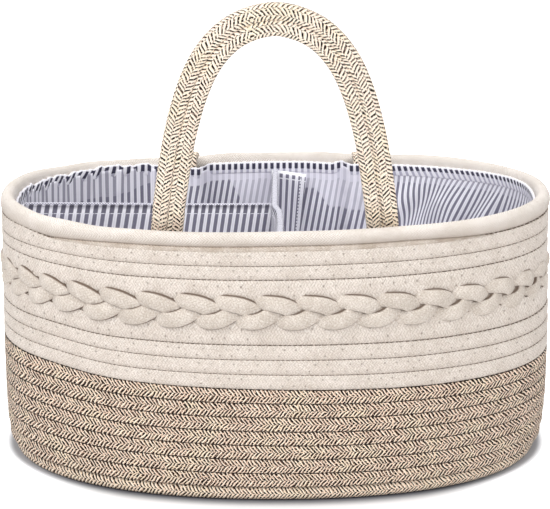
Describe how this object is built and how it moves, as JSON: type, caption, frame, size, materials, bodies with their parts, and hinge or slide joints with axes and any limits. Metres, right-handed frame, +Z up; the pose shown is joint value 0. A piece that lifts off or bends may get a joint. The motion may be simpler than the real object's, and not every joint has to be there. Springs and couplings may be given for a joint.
{
  "type": "oval rope storage basket",
  "caption": "Oval rope basket with a braid round its wall, rope handles, a striped cloth liner and a lift-out divider.",
  "frame": {"origin": "centre of the flat underside of the base, at floor level", "axes": "+X along the length, to the right as seen from the front; +Z up; the pictured front faces -Y"},
  "size_m": [0.382, 0.2836, 0.3255],
  "materials": {
    "cream_rope": "matte",
    "brown_rope": "matte",
    "ticking_cloth": "matte",
    "white_tape": "matte",
    "foam_board": "matte"
  },
  "bodies": {
    "basket": {"base_coil": "brown_rope", "lower_wall_coil": "brown_rope", "middle_wall_coil": "cream_rope", "upper_wall_coil": "cream_rope", "rim_coil": "cream_rope", "braid_strand_1": "cream_rope", "braid_strand_2": "cream_rope", "braid_strand_3": "cream_rope", "liner_floor": "ticking_cloth", "liner_wall": "ticking_cloth", "liner_hem": "white_tape", "back_loop_strip": "white_tape", "left_loop_strip": "white_tape", "front_loop_strip": "white_tape", "front_handle_left_bend": "brown_rope", "front_handle_right_bend": "brown_rope", "back_handle_left_bend": "brown_rope", "back_handle_right_bend": "brown_rope", "front_handle_left_tail": "brown_rope", "front_handle_right_tail": "brown_rope", "back_handle_left_tail": "brown_rope", "back_handle_right_tail": "brown_rope"},
    "front_handle": {"front_handle_outer_rope": "brown_rope", "front_handle_inner_rope": "brown_rope"},
    "back_handle": {"back_handle_outer_rope": "brown_rope", "back_handle_inner_rope": "brown_rope"},
    "divider": {"cross_panel_cover": "ticking_cloth", "cross_panel_board": "foam_board", "long_panel_cover": "ticking_cloth", "long_panel_board": "foam_board", "cross_panel_tape": "white_tape", "long_panel_piping": "white_tape", "back_flap": "ticking_cloth", "left_flap": "ticking_cloth", "front_flap": "ticking_cloth", "back_hook_strip": "white_tape", "left_hook_strip": "white_tape", "front_hook_strip": "white_tape"}
  },
  "joints": [
    {"name": "front_handle_hinge", "type": "hinge", "parent": "basket", "child": "front_handle", "pos_m": [0, -0.11441, 0.1749], "axis": [1, 0, 0], "range_deg": [-50, 162], "deforming": ["front_handle_left_bend", "front_handle_right_bend"]},
    {"name": "back_handle_hinge", "type": "hinge", "parent": "basket", "child": "back_handle", "pos_m": [0, 0.11441, 0.1749], "axis": [1, 0, 0], "range_deg": [0, 212], "deforming": ["back_handle_left_bend", "back_handle_right_bend"]},
    {"name": "divider_lift", "type": "slide", "parent": "basket", "child": "divider", "axis": [0, 0, 1], "range_m": [0, 0.33]}
  ]
}
